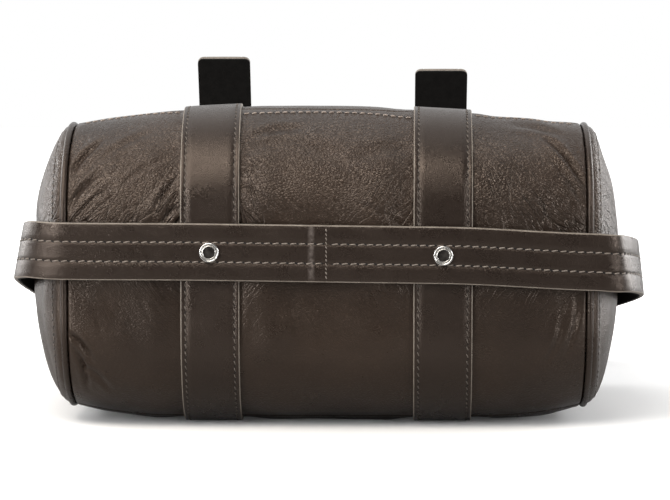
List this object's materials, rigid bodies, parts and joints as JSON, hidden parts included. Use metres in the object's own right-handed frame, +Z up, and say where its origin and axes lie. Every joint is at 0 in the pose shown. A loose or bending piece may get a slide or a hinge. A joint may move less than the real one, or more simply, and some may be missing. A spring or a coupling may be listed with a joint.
{
  "type": "bowling handbag",
  "caption": "Barrel-shaped leather handbag lying on its back, with domed ends, wrapped bands, a riveted cradle strap, a zipped mouth and a riveted carrying handle.",
  "frame": {"origin": "bottom centre of the whole object's box, on the surface that it lies on", "axes": "+X along the bag towards its right end as the base is seen, +Y from the base towards the mouth and the handle, +Z up from the back panel to the front panel"},
  "size_m": [0.3328, 0.4076, 0.1944],
  "materials": {
    "leather": "grained, satin",
    "strap_leather": "smooth, satin",
    "black_leather": "smooth, matt",
    "lining_cloth": "woven",
    "board": "fibre board",
    "tape": "woven tape",
    "nickel": "polished nickel",
    "steel": "plain"
  },
  "bodies": {
    "bag": {"base_panel": "leather", "front_panel": "leather", "back_panel": "leather", "left_end_panel": "leather", "right_end_panel": "leather", "left_piping": "leather", "right_piping": "leather", "left_band": "strap_leather", "right_band": "strap_leather", "lining": "lining_cloth", "base_board": "board", "left_mouth_gusset": "leather", "right_mouth_gusset": "leather", "left_cradle_strap": "strap_leather", "right_cradle_strap": "strap_leather", "left_cradle_lining": "black_leather", "right_cradle_lining": "black_leather", "left_rivet_cap": "nickel", "right_rivet_cap": "nickel", "left_rivet_back": "nickel", "right_rivet_back": "nickel", "left_strap_tab": "strap_leather", "right_strap_tab": "strap_leather", "left_pivot_rivet": "nickel", "right_pivot_rivet": "nickel", "left_catch_plate": "steel", "right_catch_plate": "steel"},
    "handle": {"handle_strap": "strap_leather", "handle_lining": "black_leather"},
    "front_flap": {"front_flap": "leather", "front_zip_tape": "tape", "front_zip_teeth": "nickel"},
    "back_flap": {"back_flap": "leather", "back_zip_tape": "tape", "back_zip_teeth": "nickel"},
    "slider": {"zip_slider": "nickel"},
    "pull": {"zip_pull_link": "nickel", "zip_pull_tab": "strap_leather"},
    "left_closure": {"left_closure_strap": "strap_leather", "left_closure_lining": "black_leather"},
    "right_closure": {"right_closure_strap": "strap_leather", "right_closure_lining": "black_leather"},
    "left_tip": {"left_tip_strap": "strap_leather", "left_tip_lining": "black_leather", "left_tip_magnet": "steel"},
    "right_tip": {"right_tip_strap": "strap_leather", "right_tip_lining": "black_leather", "right_tip_magnet": "steel"}
  },
  "joints": [
    {"name": "handle_swing", "type": "hinge", "parent": "bag", "child": "handle", "pos_m": [0, -0.0212, 0.062], "axis": [1, 0, 0], "range_deg": [-25, 120]},
    {"name": "front_flap_fold", "type": "hinge", "parent": "bag", "child": "front_flap", "pos_m": [0, 0.0118, 0.102], "axis": [-1, 0, 0], "range_deg": [0, 75]},
    {"name": "back_flap_fold", "type": "hinge", "parent": "bag", "child": "back_flap", "pos_m": [0, 0.0118, 0.022], "axis": [1, 0, 0], "range_deg": [0, 75]},
    {"name": "zip_slide", "type": "slide", "parent": "bag", "child": "slider", "axis": [-1, 0, 0], "range_m": [0, 0.222]},
    {"name": "pull_swing", "type": "hinge", "parent": "slider", "child": "pull", "pos_m": [0.111, 0.0173, 0.062], "axis": [0, 0, -1], "range_deg": [0, 180]},
    {"name": "left_closure_fold", "type": "hinge", "parent": "bag", "child": "left_closure", "pos_m": [-0.0635, 0.0175, 0.0223], "axis": [-1, 0, 0], "range_deg": [0, 70]},
    {"name": "right_closure_fold", "type": "hinge", "parent": "bag", "child": "right_closure", "pos_m": [0.0635, 0.0175, 0.0223], "axis": [-1, 0, 0], "range_deg": [0, 70]},
    {"name": "left_tip_fold", "type": "hinge", "parent": "left_closure", "child": "left_tip", "pos_m": [-0.0635, 0.01398, 0.12248], "axis": [1, 0, 0], "range_deg": [0, 50]},
    {"name": "right_tip_fold", "type": "hinge", "parent": "right_closure", "child": "right_tip", "pos_m": [0.0635, 0.01398, 0.12248], "axis": [1, 0, 0], "range_deg": [0, 50]}
  ]
}
